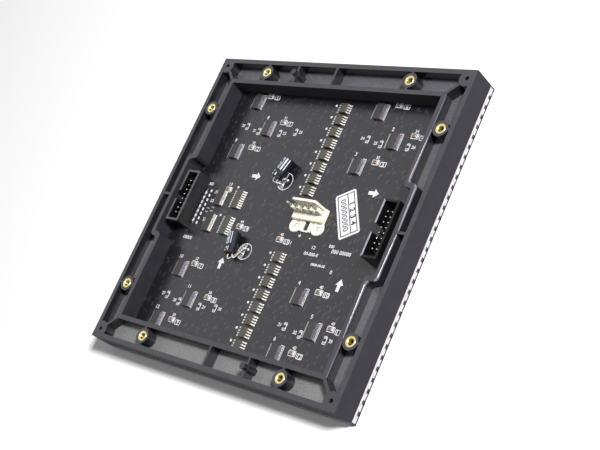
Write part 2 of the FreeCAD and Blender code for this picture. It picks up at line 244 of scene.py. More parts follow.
# Closed-cell foam tape: dull white, slightly uneven, without any highlight
WHITE_FOAM_TAPE = Finish("white_foam_tape", "#cbc6ca", "#aaa5a9", 0.9, grain=0.6, relief=0.6,
                         patch=1.5, specular=0.2)
# Black epoxy solder mask over copper: glossy, with runs and plated holes showing through
BLACK_SOLDER_MASK = Finish("black_solder_mask", "#19191e", "#5a5a63", 0.3, ior=1.55, grain=2.5,
                           relief=0.12, surface=Surface.SOLDER_MASK)
# Screen-printed epoxy ink: flat bright white, thinner here and there
WHITE_INK = Finish("white_ink", "#e6e6ea", "#d6d6da", 0.6, patch=1.5)
# Moulded epoxy of the driver chips: dull black
BLACK_EPOXY = Finish("black_epoxy", "#29292b", "#323234", 0.55, ior=1.55, grain=0.12,
                     patch=2.0, relief=0.2)
# Moulded epoxy of the switch chips: the filler shows grey-brown on the ground top
BROWN_EPOXY = Finish("brown_epoxy", "#3f3d38", "#4a4741", 0.5, ior=1.55, grain=0.12,
                     patch=2.0, relief=0.2)
# Tinned copper alloy: bright, slightly warm and soft, as plating makes it
TINNED_COPPER = Finish("tinned_copper", "#e2ded6", "#c0bbb1", 0.5, metallic=1.0, grain=0.2,
                       patch=1.0)
# The same plating on the finest leads, drawn darker and more violet
DARK_FINE_COPPER = Finish("darker_fine_copper", "#b1abb3", "#77717a", 0.5, metallic=1.0, grain=0.2,
                       patch=0.8)
# Painted shade: the same plating down a pin's sides, drawn dark for the shroud's shade
SHADED_PIN_TIN = Finish("painted_shade_pin_tin", "#4d4a46", "#36332f", 0.5, metallic=1.0, patch=0.8)
# Matt tin of the resistors' ends: pale grey and without a mirror
MATT_TIN = Finish("matt_tin", "#dedee2", "#c6c6cb", 0.7, grain=0.3, patch=0.8)
# Solder: a brighter skin with round highlights
SOLDER = Finish("solder", "#d9d9dc", "#bdbdc2", 0.45, metallic=1.0, grain=0.3, patch=1.0)
# Turned brass of the threaded inserts: pale yellow, with fine tool marks
TURNED_BRASS = Finish("turned_brass", "#e6dba0", "#cfc07a", 0.3, metallic=1.0, grain=0.1,
                      patch=2.0)
# Painted shade: the same brass down in the bore's thread, drawn brown and dark
SHADED_BORE_BRASS = Finish("painted_shade_bore_brass", "#94804e", "#5e4e30", 0.3, metallic=1.0, patch=1.0)
# The blades of the power connector: brass under thin tin, pale straw
STRAW_TIN = Finish("straw_tin", "#dcd5b8", "#b3aa86", 0.35, metallic=1.0, patch=1.0)
# Glass-filled nylon of the box headers: black with a soft sheen
BLACK_NYLON = Finish("black_nylon", "#0b0b0d", "#131316", 0.3, ior=1.53, grain=0.25,
                     patch=3.0, relief=0.15, specular=0.25)
# Painted sheen: the same nylon on the input header's top edge, drawn grey for the sheen on it
SHEEN_TOP_NYLON = Finish("painted_sheen_nylon", "#4e4e54", "#3c3c41", 0.4, ior=1.53, patch=3.0)
# Painted highlight: the output header's top edge on the board's side, drawn whitish with a
# violet tinge for the glint along it
HIGHLIGHT_EDGE_NYLON = Finish("painted_highlight_nylon", "#aaa5b2", "#8b8693", 0.3, ior=1.53, patch=2.0)
# Unfilled nylon of the power connector: warm ivory, a little darker in soft patches
IVORY_NYLON = Finish("unfilled_ivory_nylon", "#f3f1e8", "#e4dfca", 0.45, ior=1.53, patch=3.0,
                     relief=0.08)
# PVC sleeve shrunk over the capacitor: smooth and blue-black
SHRUNK_PVC = Finish("shrunk_pvc", "#141524", "#0e0e18", 0.22, ior=1.54, patch=2.0, relief=0.05)
# Silver-white ink on the sleeve, also drawn as one painted highlight band along it
SILVER_INK_AND_HIGHLIGHT = Finish("silver_ink_and_painted_highlight", "#dfe2f0", "#b9bdd0", 0.4, patch=1.0)
# Drawn aluminium at the can's end: pale grey with draw marks
DRAWN_ALUMINIUM = Finish("drawn_aluminium", "#d3d4d8", "#b6b8bd", 0.3, metallic=1.0)
# Butyl rubber bung: dull black
BLACK_RUBBER = Finish("black_rubber", "#1b1b1b", "#232323", 0.75, patch=1.0)
# Coated label paper: white, nearly matte
LABEL_PAPER = Finish("coated_label_paper", "#e9e9ec", "#dedee3", 0.5, patch=5.0, relief=0.05)
# Dark and pale inks printed on the label
DARK_INK = Finish("dark_ink", "#26272e", "#33343c", 0.6, patch=1.0)
PALE_INK = Finish("pale_ink", "#52535c", "#64656e", 0.6, patch=1.0)
# Glazed body of the chip resistors: glossy black
GLAZED_ALUMINA = Finish("glazed_alumina", "#08080a", "#101013", 0.28, ior=1.6, patch=1.0)
# Sintered ceramic of the chip capacitors: warm tan-brown
BROWN_CERAMIC = Finish("brown_ceramic", "#85714f", "#6a583c", 0.45, ior=1.6, patch=0.8)
# White PPA housing of the lamps
WHITE_HOUSING = Finish("white_housing", "#f1f1ec", "#e4e4dc", 0.5, ior=1.55, patch=1.5)
# Clear silicone over the lamp's three dies: milky, slightly yellow
MILKY_SILICONE = Finish("milky_silicone", "#d8d3b8", "#c9c2a2", 0.2, ior=1.43, patch=0.8)
# Painted shade: near black at a hole's blind end; the chips' sunk marks use it as well
DARK_HOLE = Finish("dark_hole", "#0a0a0a", "#121212", 0.8, patch=1.0)


def place_at(x: float, y: float, z: float = 0.0, turn: float = 0.0) -> Matrix:
    """Place in millimetres, turned about the upright axis by an angle in degrees."""
    return Matrix.Translation((x, y, z)) @ Matrix.Rotation(math.radians(turn), 4, "Z")


def spread(count: int, pitch: float) -> list[float]:
    """Evenly spaced places about zero, from the lowest to the highest."""
    return [(index + 0.5 - count / 2) * pitch for index in range(count)]


def as_mesh(part: bmesh.types.BMesh) -> bpy.types.Mesh:
    """Keep a bmesh as a mesh.

    Args:
        part: The bmesh, used up.

    Returns:
        The mesh, without materials.
    """
    mesh = bpy.data.meshes.new("part")
    part.to_mesh(mesh)
    part.free()
    return mesh


def curve_mesh(curve: bpy.types.Curve) -> bpy.types.Mesh:
    """Turn a curve or a text into a mesh.

    Args:
        curve: The curve, used up.

    Returns:
        The mesh.
    """
    holder = bpy.data.objects.new("holder", curve)
    bpy.context.scene.collection.objects.link(holder)
    bpy.context.view_layer.update()
    mesh = bpy.data.meshes.new_from_object(holder)
    bpy.data.objects.remove(holder)
    bpy.data.curves.remove(curve)
    return mesh


def extruded(points: Sequence[Triple], way: Triple) -> bmesh.types.BMesh:
    """Pull a flat outline into a solid.

    Args:
        points: Corners of the outline in millimetres.
        way: How far and which way it is pulled.

    Returns:
        The solid, with its faces outward.
    """
    solid = bmesh.new()
    face = solid.faces.new([solid.verts.new(point) for point in points])
    pulled = bmesh.ops.extrude_face_region(solid, geom=[face])["geom"]
    moved = [part for part in pulled if isinstance(part, bmesh.types.BMVert)]
    bmesh.ops.translate(solid, vec=way, verts=moved)
    bmesh.ops.recalc_face_normals(solid, faces=solid.faces)
    return solid


def middle(node: str) -> Vector:
    """Middle of a CAD node's underside, in millimetres."""
    low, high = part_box(node)
    return Vector(((low.x + high.x) / 2, (low.y + high.y) / 2, low.z)) / MM


@dataclass
class Draft:
    """A piece in the making, in millimetres and in place."""

    shape: bmesh.types.BMesh = field(default_factory=bmesh.new)

    @classmethod
    def of_node(cls, node: str) -> "Draft":
        """Start from a CAD node's shape, with whole faces.

        Args:
            node: Name of the CAD node.

        Returns:
            The new draft.
        """
        draft = cls()
        shape = draft.shape
        shape.from_mesh(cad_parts[node].data)
        bmesh.ops.scale(shape, vec=(1000, 1000, 1000), verts=shape.verts)
        bmesh.ops.remove_doubles(shape, verts=shape.verts, dist=1e-3)
        bmesh.ops.dissolve_limit(shape, angle_limit=math.radians(2), verts=shape.verts,
                                 edges=shape.edges)
        for face in shape.faces:
            face.material_index = 0
        return draft

    def soften(self, rounding: float) -> None:
        """Round every sharp edge a little.

        Args:
            rounding: Width of the rounding.
        """
        sharp = [edge for edge in self.shape.edges
                 if len(edge.link_faces) == 2 and edge.calc_face_angle(0.0) > SHARP_EDGE]
        bmesh.ops.bevel(self.shape, geom=sharp, offset=rounding, affect="EDGES", segments=2,
                        profile=0.5, material=-1, clamp_overlap=True)

    def block(self, size: Triple, base: Sequence[float], bevel: float = 0.0,
              material: int = 0) -> None:
        """Add a box that stands on its base point.

        Args:
            size: Length, width and height.
            base: Middle of the underside.
            bevel: Width of the rounded edges, or 0.
            material: Material number of its faces.
        """
        spot = (Matrix.Translation(Vector(base)) @ Matrix.Translation((0, 0, size[2] / 2))
                @ Matrix.Diagonal((*size, 1.0)))
        verts = bmesh.ops.create_cube(self.shape, size=1.0, matrix=spot)["verts"]
        for face in {face for vert in verts for face in vert.link_faces}:
            face.material_index = material
        if bevel:
            edges = list(dict.fromkeys(edge for vert in verts for edge in vert.link_edges))
            bmesh.ops.bevel(self.shape, geom=edges, offset=bevel, affect="EDGES", segments=2,
                            profile=0.5, material=-1)

    def rod(self, radius: float, height: float, base: Sequence[float], segments: int = 24,
            top_radius: Optional[float] = None, material: int = 0, turn: float = 0.0) -> None:
        """Add a rod or cone that stands on its base point.

        Args:
            radius: Radius at the base.
            height: Length of the rod.
            base: Middle of its lower end.
            segments: Number of sides.
            top_radius: Radius at the top where it tapers.
            material: Material number of its faces.
            turn: Angle about its axis in degrees.
        """
        spot = place_at(*base, turn) @ Matrix.Translation((0, 0, height / 2))
        top = radius if top_radius is None else top_radius
        verts = bmesh.ops.create_cone(self.shape, cap_ends=True, segments=segments, depth=height,
                                      radius1=radius, radius2=top, matrix=spot)["verts"]
        for face in {face for vert in verts for face in vert.link_faces}:
            face.material_index = material

    def join(self, part: bmesh.types.BMesh, spot: Matrix, material: Optional[int] = None) -> None:
        """Add a shape that was made by itself.

        Args:
            part: The shape about its own origin, used up.
            spot: Where it goes.
            material: Material number of its faces, or its own.
        """
        if material is not None:
            for face in part.faces:
                face.material_index = material
        part.transform(spot)
        self.take(as_mesh(part))

    def take(self, mesh: bpy.types.Mesh) -> None:
        """Add a mesh that is in place and isn't needed again."""
        self.shape.from_mesh(mesh)
        bpy.data.meshes.remove(mesh)

    def stamp(self, pattern: bpy.types.Mesh, spot: Matrix) -> None:
        """Add one copy of a pattern.

        Args:
            pattern: The pattern's mesh.
            spot: Where the copy goes.
        """
        pattern.transform(spot)
        self.shape.from_mesh(pattern)
        pattern.transform(spot.inverted())

    def turned(self, profile: Sequence[Pair], spot: Matrix, segments: int = 32,
               material: int = 0) -> None:
        """Add a turned shape by spinning its profile a full turn.

        Args:
            profile: Radius and height of each point, from one end to the other.
            spot: Where the turning axis's origin goes.
            segments: Number of sides.
            material: Material number of its faces.
        """
        part = bmesh.new()
        verts = [part.verts.new((radius, 0, height)) for radius, height in profile]
        edges = [part.edges.new(pair) for pair in zip(verts, verts[1:])]
        bmesh.ops.spin(part, geom=verts + edges, cent=(0, 0, 0), axis=(0, 0, 1),
                       angle=2 * math.pi, steps=segments, use_merge=True, use_duplicate=False)
        bmesh.ops.remove_doubles(part, verts=part.verts, dist=1e-4)
        bmesh.ops.holes_fill(part, edges=part.edges, sides=segments)
        bmesh.ops.recalc_face_normals(part, faces=part.faces)
        self.join(part, spot, material)

    def plate(self, points: Sequence[Pair], low: float, thick: float, spot: Matrix,
              material: int = 0) -> None:
        """Add a flat plate, with its outline's corners given anticlockwise from above."""
        self.join(extruded([(x, y, low) for x, y in points], (0, 0, thick)), spot, material)

    def number(self, text: str, height: float, spot: Matrix, weight: float, spacing: float = 1.0,
               material: int = 0) -> None:
        """Add a plain number or sign as a thin raised print.

        Args:
            text: The characters.
            height: Their height.
            spot: Where the middle of the line goes.
            weight: How much the strokes are thickened.
            spacing: Gap between the characters as a share of the usual one.
            material: Material number of its faces.
        """
        curve = bpy.data.curves.new("print", "FONT")
        curve.body = text
        curve.size = height * 1.4
        curve.align_x = curve.align_y = "CENTER"
        curve.resolution_u = 2
        curve.extrude = 0.01
        curve.offset = weight
        curve.space_character = spacing
        mesh = curve_mesh(curve)
        mesh.transform(spot)
        for polygon in mesh.polygons:
            polygon.material_index = material
        self.take(mesh)

    def finish(self, name: str, finishes: Sequence[Finish], slot: str,
               replaced: Sequence[str] = (), smooth: float = 35.0) -> None:
        """Turn the draft into a piece of the module, at the origin.

        Args:
            name: Name of the piece.
            finishes: Finishes in the order of the faces' material numbers.
            slot: Not used.
            replaced: CAD nodes that the piece stands for.
            smooth: Edges sharper than this angle in degrees stay sharp.
        """
        shape = self.shape
        bmesh.ops.scale(shape, vec=(MM, MM, MM), verts=shape.verts)
        for face in shape.faces:
            # A flat side keeps its own normal where it meets a rounded edge
            face.smooth = max(abs(value) for value in face.normal) < 0.9999
        for edge in shape.edges:
            sharp = len(edge.link_faces) != 2 or edge.calc_face_angle(0.0) > math.radians(smooth)
            edge.smooth = not sharp
        mesh = as_mesh(shape)
        for finish in finishes:
            mesh.materials.append(finish.material())
        piece = bpy.data.objects.new(name, mesh)
        bpy.context.scene.collection.objects.link(piece)
        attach(piece, "root")
        if replaced:
            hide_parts(*replaced)
        LOG.info("%s: %d faces", name, len(mesh.polygons))


@dataclass
class RearFrame:
    """Moulded frame with its threaded inserts."""

    half_side: float = 80.0
    steep: float = 0.7
    edge_rounding: float = 0.2
    rim_rounding: float = 0.8
    boss_reach: float = 4.2
    straight_rim: float = 67.0
    board_side: float = 72.0
    inner_rim: Pair = (67.5, 74.0)
    lower_floor: float = -66.5
    channel_floor: float = 9.8
    rim_height: float = 15.6
    end_boss: Pair = (45.5, 73.0)
    side_boss: Pair = (73.1, 50.2)
    insert_radius: float = 2.6
    insert_chamfer: float = 0.15
    insert_depth: float = 5.0
    bore_radius: float = 1.25
    bore_end: float = 0.3
    thread_pitch: float = 0.5
    thread_start: float = -0.3
    thread_root: float = 0.2
    thread_end: float = 0.18
    lead_in: float = 0.5

    def build(self) -> None:
        """Build the moulding and the inserts."""
        draft = Draft.of_node("rear_frame")
        for face in draft.shape.faces:
            face.material_index = self._area(face)
        highlight_edges = [edge for edge in draft.shape.edges if self._is_inner_rim(edge)]
        rounded = bmesh.ops.bevel(draft.shape, geom=highlight_edges, offset=self.rim_rounding,
                                  affect="EDGES", segments=4, profile=0.5, material=-1,
                                  clamp_overlap=False)
        # The rounded faces take a painted highlight
        for face in rounded["faces"]:
            face.material_index = Area.ROUNDED_RIM
        draft.soften(self.edge_rounding)
        draft.finish("frame_moulding", [CHARCOAL_ABS, PEBBLED_ABS, POLISHED_ABS, SPARKED_ABS,
                                        SHEEN_FLOOR_ABS, HIGHLIGHT_RIM_ABS],
                     "frame_plastic", ["rear_frame"], 50.0)
        self._inserts()

    def _area(self, face: bmesh.types.BMFace) -> Area:
        """Tell which area of the moulding a face belongs to.

        Args:
            face: The face.

        Returns:
            Its area. Walls beside the board count with the outer flanks, and other walls,
            ribs and posts are polished.
        """
        centre = face.calc_center_median()
        farthest = max(abs(centre.x), abs(centre.y))
        if farthest > self.half_side - NEAR:
            return Area.OUTER_FLANK
        # The floor along the lower side takes a painted sheen
        if face.normal.z > FACING and abs(centre.z - self.channel_floor) < NEAR:
            return Area.LOWER_FLOOR if centre.y < self.lower_floor else Area.CHANNEL_FLOOR
        if abs(face.normal.z) < self.steep or centre.z > self.rim_height + NEAR:
            inward = face.normal.x * centre.x + face.normal.y * centre.y < 0
            beside_board = inward and farthest < self.board_side
            return Area.OUTER_FLANK if beside_board else Area.POLISHED
        return Area.PLAIN

    def _is_inner_rim(self, edge: bmesh.types.BMEdge) -> bool:
        """Tell whether an edge is the right inner wall's top edge on the channel's side.

        Args:
            edge: The edge.

        Returns:
            True for the edges that the mould rounds more than the others; their rounding takes a
            painted highlight.
        """
        low, high = self.inner_rim
        ends = [vert.co for vert in edge.verts]
        if any(abs(end.z - self.rim_height) > NEAR or not low < end.x < high for end in ends):
            return False
        centre = (ends[0] + ends[1]) / 2
        from_boss = math.hypot(centre.x - self.side_boss[0], abs(centre.y) - self.side_boss[1])
        if from_boss < self.boss_reach or abs(centre.y) > self.straight_rim:
            return False
        sides = [face.normal for face in edge.link_faces]
        return any(side.z > FACING for side in sides) and any(side.x > 0.5 for side in sides)

    def _inserts(self) -> None:
        """Build the eight turned inserts as one piece."""
        draft = Draft()
        outer, bore, depth = self.insert_radius, self.bore_radius, self.insert_depth
        root, mouth = bore + self.thread_root, (bore + self.thread_root, self.thread_start)
        profile = [(root, -depth), (outer, -depth), (outer, -self.insert_chamfer),
                   (outer - self.insert_chamfer, 0.0), (bore + self.lead_in, 0.0), mouth,
                   (root, -depth)]
        thread = [mouth]
        for turn in range(int((depth + self.thread_start) / self.thread_pitch)):
            thread += [(bore, self.thread_start - (turn + 0.5) * self.thread_pitch),
                       (bore + self.thread_end, self.thread_start - (turn + 1) * self.thread_pitch)]
        thread += [(root, -depth), mouth]
        for side in ENDS:
            for other in ENDS:
                for x, y in (self.end_boss, self.side_boss):
                    spot = Matrix.Translation((side * x, other * y, self.rim_height))
                    draft.turned(profile, spot)
                    # The thread down the bore takes a painted shade, and its blind end a near-black
                    # one
                    draft.turned(thread, spot, material=1)
                    draft.rod(bore, self.bore_end, (side * x, other * y, self.rim_height - depth),
                              material=2)
        draft.finish("turned_inserts", [TURNED_BRASS, SHADED_BORE_BRASS, DARK_HOLE], "brass",
                     ["threaded_inserts"], 30.0)


@dataclass
class PixelGrid:
    """The pixels that the mask's windows and the lamps share."""

    side: float = 160.0
    rows: int = 32

    @property
    def pitch(self) -> float:
        """Distance from pixel to pixel."""
        return self.side / self.rows

    def at(self, column: float, row: float) -> Matrix:
        """Place of a pixel's lower left corner. Half a step more gives its middle."""
        low = -self.side / 2
        return Matrix.Translation((low + column * self.pitch, low + row * self.pitch, 0))


@dataclass
class LightMask:
    """Ribbed mask at the front with a window for each pixel."""

    grid: PixelGrid
    height: float = 2.0
    face: float = 0.7
    rib: float = 2.0
    rib_rounding: float = 0.1
    rim: float = 0.8
    tape: float = 0.7
    tape_inset: float = 0.05
    tape_top: float = 3.3
    bar: float = 1.5
    bar_height: float = 1.2
    peg: float = 1.2
    peg_spacing: float = 50.0
    peg_top: float = 4.8

    def build(self) -> None:
        """Build the mask's ribs, bars, rim and pegs, then the tape."""
        draft = Draft()
        side, pitch = self.grid.side, self.grid.pitch
        half = side / 2
        for row in range(1, self.grid.rows):
            draft.block((side, self.rib, self.height), (0, -half + row * pitch, 0),
                        self.rib_rounding)
        for end in ENDS:
            reach = end * (half - self.rim / 2)
            draft.block((side, self.rim, self.height), (0, reach, 0), self.rib_rounding)
            draft.block((self.rim, side, self.face), (reach, 0, 0))
        piece = Draft()
        piece.block((self.bar, pitch - self.rib, self.bar_height), (0, 0, 0))
        bar = as_mesh(piece.shape)
        for row in range(self.grid.rows):
            for column in range(1, self.grid.rows):
                draft.stamp(bar, self.grid.at(column, row + 0.5))
        for x in spread(3, self.peg_spacing):
            for y in spread(3, self.peg_spacing):
                draft.block((self.peg, self.peg, self.peg_top - self.height),
                            (x, y, self.height))
        draft.finish("light_mask", [BLACK_POLYCARBONATE], "mask_plastic", ["led_mask"])
        draft, outer, tall = Draft(), half - self.tape_inset, self.tape_top - self.face
        for end in ENDS:
            reach = end * (outer - self.tape / 2)
            draft.block((2 * outer, self.tape, tall), (0, reach, self.face), self.rib_rounding)
            draft.block((self.tape, 2 * outer, tall), (reach, 0, self.face), self.rib_rounding)
        draft.finish("foam_tape", [WHITE_FOAM_TAPE], "mask_plastic")


@dataclass
class Lamps:
    """Lamp packages on the board's front, one behind each window."""

    grid: PixelGrid
    length: float = 2.1
    height: float = 1.9
    board_front: float = 4.8
    lip: float = 0.22
    well: float = 0.12
    well_slope: float = 0.05

    def build(self) -> None:
        """Build one package and stamp it behind every window."""
        piece = Draft()
        piece.block((self.length, self.length, self.height),
                    (0, 0, self.board_front - self.height))
        front = min(piece.shape.faces, key=lambda face: face.calc_center_median().z)
        bmesh.ops.inset_region(piece.shape, faces=[front], thickness=self.lip)
        bmesh.ops.inset_region(piece.shape, faces=[front], thickness=self.well_slope,
                               depth=-self.well)
        front.material_index = 1
        pattern = as_mesh(piece.shape)
        draft = Draft()
        for row in range(self.grid.rows):
            for column in range(self.grid.rows):
                draft.stamp(pattern, self.grid.at(column + 0.5, row + 0.5))
        draft.finish("lamps", [WHITE_HOUSING, MILKY_SILICONE], "lamp_body", ["led_packages"])


@dataclass
class LeadForm:
    """Bent lead of a surface-mounted chip."""

    width: float
    pitch: float
    per_side: int
    span: float
    pad_end: float
    body_width: float = 3.9
    rise: float = 0.95
    thick: float = 0.18
    shoulder: float = 0.4
    foot: float = 0.85
    inside_body: float = 0.05
    ankle_height: float = 0.08
    toe_height: float = 0.05
    pad_behind: float = 0.2
    pad_share: float = 1.2
    solder_height: float = 0.09
    solder_rounding: float = 0.03

    def pattern(self) -> bpy.types.Mesh:
        """Build one lead that points along +X from the middle of its chip.

        Returns:
            The lead's mesh, with a solder fillet at its foot.
        """
        start, end = self.body_width / 2, self.span / 2
        heel = end - self.foot
        path = [(start - self.inside_body, self.rise), (start + self.shoulder, self.rise),
                (heel, self.ankle_height), (end, self.toe_height)]
        upper = [(x, z + self.thick) for x, z in path]
        draft = Draft()
        draft.join(extruded([(x, -self.width / 2, z) for x, z in path + upper[::-1]],
                            (0, self.width, 0)), Matrix.Identity(4))
        pad = self.pad_end - heel + self.pad_behind
        draft.block((pad, self.width * self.pad_share, self.solder_height),
                    (self.pad_end - pad / 2, 0, 0), self.solder_rounding, 1)
        return as_mesh(draft.shape)


@dataclass
class ChipFamily:
    """Chips of one package: bodies, leads, pads and marks."""

    name: str
    nodes: Sequence[str]
    lead: LeadForm
    epoxy: Finish
    plating: Finish = TINNED_COPPER
    standoff: float = 0.1
    body_rounding: float = 0.12
    mark_radius: float = 0.35
    mark_inset: Pair = (0.8, 0.9)
    mark_sunk: float = 0.012
    mark_height: float = 0.02

    def build(self) -> None:
        """Build every chip's body, then all the leads as one piece."""
        leads = Draft()
        pattern = self.lead.pattern()
        for node in self.nodes:
            low, high = (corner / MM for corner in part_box(node))
            size = high - low
            base = middle(node)
            body = Draft()
            body.block((size.x, size.y, size.z - self.standoff),
                       (base.x, base.y, base.z + self.standoff), self.body_rounding)
            body.rod(self.mark_radius, self.mark_height,
                     (base.x - size.x / 2 + self.mark_inset[0], high.y - self.mark_inset[1],
                      high.z - self.mark_sunk), 12, material=1)
            body.finish(node + "_body", [self.epoxy, DARK_HOLE], "chip_epoxy", [node])
            for turn in (0, 180):
                for offset in spread(self.lead.per_side, self.lead.pitch):
                    leads.stamp(pattern, place_at(base.x, base.y + offset, base.z, turn))
        leads.finish(self.name + "_leads", [self.plating, SOLDER], "tinned_wire")


@dataclass
class BoxHeader:
    """Shrouded header with two rows of pins."""

    side: str
    # Finish of the top faces; the input header's is a painted sheen
    top: Finish = BLACK_NYLON
    # Width of the painted highlight along the top's low-X edge, or 0
    rubbed_edge: float = 0.0
    rounding: float = 0.18
    crown_depth: float = 0.2
    rows: int = 8
    columns: int = 2
    pitch: float = 2.54
    pin_side: float = 0.64
    pin_height: float = 5.0
    tip_height: float = 0.4

    def build(self) -> None:
        """Build the shell, then the square pins with their tapered tips."""
        node = self.side + "_header_shell"
        draft = Draft.of_node(node)
        draft.soften(self.rounding)
        shell = draft.shape
        highest = max(vert.co.z for vert in shell.verts) - self.crown_depth
        highlight_limit = min(vert.co.x for vert in shell.verts) + self.rubbed_edge
        crown = [face for face in shell.faces if face.calc_center_median().z > highest]
        bmesh.ops.triangulate(shell, faces=crown, quad_method="BEAUTY", ngon_method="BEAUTY")
        # Top faces take the top finish, and a strip along the low-X edge the painted highlight
        for face in shell.faces:
            spot = face.calc_center_median()
            if spot.z > highest:
                face.material_index = 2 if spot.x < highlight_limit else 1
        draft.finish(node + "_moulding", [BLACK_NYLON, self.top, HIGHLIGHT_EDGE_NYLON],
                     "header_plastic", [node])
        node = self.side + "_header_pins"
        draft, base = Draft(), middle(node)
        straight = self.pin_height - self.tip_height
        for across in spread(self.columns, self.pitch):
            for along in spread(self.rows, self.pitch):
                x, y = base.x + across, base.y + along
                draft.block((self.pin_side, self.pin_side, straight), (x, y, base.z))
                draft.rod(self.pin_side / math.sqrt(2), self.tip_height,
                          (x, y, base.z + straight), 4, self.pin_side / 3, turn=45)
        # The pins' sides below the tips take a painted shade
        for face in draft.shape.faces:
            below = face.calc_center_median().z < base.z + straight - NEAR
            face.material_index = int(below)
        draft.finish(node + "_tinned", [TINNED_COPPER, SHADED_PIN_TIN], "brass", [node])


@dataclass
class PowerConnector:
    """Ivory connector with a tall back wall, blades and round feet."""

    base_length: float = 19.0
    base_height: float = 2.7
    front: float = 0.9
    base_rounding: float = 0.35
    rounding: float = 0.3
    small_rounding: float = 0.15
    blade_rounding: float = 0.12
    wall_length: float = 14.2
    wall_thick: float = 1.4
    wall_shift: float = 1.8
    pin_pitch: float = 3.96
    pin_count: int = 5
    pin_side: float = 0.6
    first_pin_side: float = 0.9
    pin_drop: float = 1.0
    column_size: Triple = (1.4, 1.8, 5.6)
    column_base: float = 1.6
    foot_radius: float = 3.6
    foot_spacing: float = 13.6
    foot_y: float = -1.6
    solder_dome: Sequence[Pair] = ((0.0, 0.75), (0.6, 0.7), (0.95, 0.35), (0.95, 0.0), (0.0, 0.0))
    arms: Sequence[tuple[Triple, Pair]] = (((1.7, 5.2, 1.0), (-2.4, -1.5)),
                                           ((1.7, 5.2, 1.0), (2.3, -1.5)),
                                           ((3.6, 0.8, 1.0), (0.0, -4.0)))
    clip_size: Triple = (1.3, 0.5, 1.5)
    clip_rounding: float = 0.1
    clips: Sequence[Pair] = ((-5.3, 0.7), (3.6, 0.7))

    def build(self) -> None:
        """Build the moulding, its blades and the two round feet with their solder."""
        low, high = (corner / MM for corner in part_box("power_header_body"))
        pin_low, pin_high = (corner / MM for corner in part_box("power_header_pins"))
        centre, base, pin_y = (low.x + high.x) / 2, low.z, (pin_low.y + pin_high.y) / 2
        body, pins = Draft(), Draft()
        body.block((self.base_length, high.y - self.front, self.base_height),
                   (centre, (high.y + self.front) / 2, base), self.base_rounding)
        body.block((self.wall_length, self.wall_thick, high.z - base),
                   (centre + self.wall_shift, high.y - self.wall_thick / 2, base), self.rounding)
        for index, across in enumerate(spread(self.pin_count, self.pin_pitch)):
            x = centre + across
            body.block(self.column_size, (x, pin_y, base + self.column_base), self.rounding)
            later = index > 0
            side = self.pin_side if later else self.first_pin_side
            reach = pin_high.z - pin_low.z - self.pin_drop * later
            pins.block((side, side, reach), (x, pin_y, pin_low.z), self.blade_rounding,
                       int(later))
        edge = self.foot_radius
        ring = [(1.0, 0.0), (1.1, 0.5), (1.7, 0.62), (edge - 1.1, 0.7), (edge - 0.8, 1.0),
                (edge - 0.3, 1.0), (edge, 0.7), (edge, 0.0), (1.0, 0.0)]
        for across in spread(2, self.foot_spacing):
            spot = Matrix.Translation((centre + across, self.foot_y, base))
            body.turned(ring, spot)
            pins.turned(self.solder_dome, spot, 16)
        for size, (across, y) in self.arms:
            body.block(size, (centre + across, y, base), self.small_rounding)
        for across, y in self.clips:
            pins.block(self.clip_size, (centre + across, y, base), self.clip_rounding, 1)
        body.finish("power_moulding", [IVORY_NYLON], "ivory_nylon", ["power_header_body"])
        pins.finish("power_blades", [TINNED_COPPER, STRAW_TIN], "tinned_wire",
                    ["power_header_pins"])


# Outline of a sleeve: how far inside the can's radius, at which end (1 the closed one, -1 the
# bung) and how far from that end, in mm
SLEEVE = ((0.9, 1, 0.12), (0.3, 1, 0.0), (0.0, 1, 0.35), (0.0, -1, 2.6), (0.42, -1, 2.1),
          (0.42, -1, 1.8), (0.0, -1, 1.35), (0.0, -1, 0.3), (0.35, -1, 0.0), (0.9, -1, 0.0),
          (0.9, 1, 0.12))
# Print on a sleeve, with one painted highlight band on each: angle and width in degrees, start
# and end along the can in mm, finish
LINED_SLEEVE = ((234.0, 9.0, -5.0, 5.2, 1), (250.0, 9.0, -1.2, 0.4, 1), (250.0, 9.0, 1.2, 2.6, 1),
                (250.0, 9.0, 3.4, 4.9, 1), (262.0, 6.0, -1.2, 2.0, 1), (262.0, 6.0, 3.0, 4.9, 1),
                # The band at 296 degrees is a painted highlight
                (273.0, 6.0, -1.3, 5.0, 1), (296.0, 15.0, -1.3, 5.1, 1), (322.0, 8.0, -1.0, 5.1, 1),
                (252.0, 16.0, -5.0, -4.1, 1), (252.0, 16.0, -3.4, -2.7, 1),
                (286.0, 12.0, -4.8, -3.2, 1))
BANDED_SLEEVE = (
    (250.0, 52.0, -1.3, 5.1, 1), (243.0, 8.0, 2.2, 4.4, 0), (262.0, 11.0, 1.4, 4.5, 0),
    # The band at 292 degrees is a painted highlight
    (240.0, 7.0, -0.6, 1.2, 0), (262.0, 10.0, -0.8, 0.6, 0), (292.0, 7.0, -1.2, 5.0, 1),
    (244.0, 30.0, -5.0, -4.3, 1), (236.0, 10.0, -4.3, -2.7, 1), (262.0, 14.0, -4.0, -2.9, 1),
    (282.0, 6.0, -5.0, -2.8, 1))


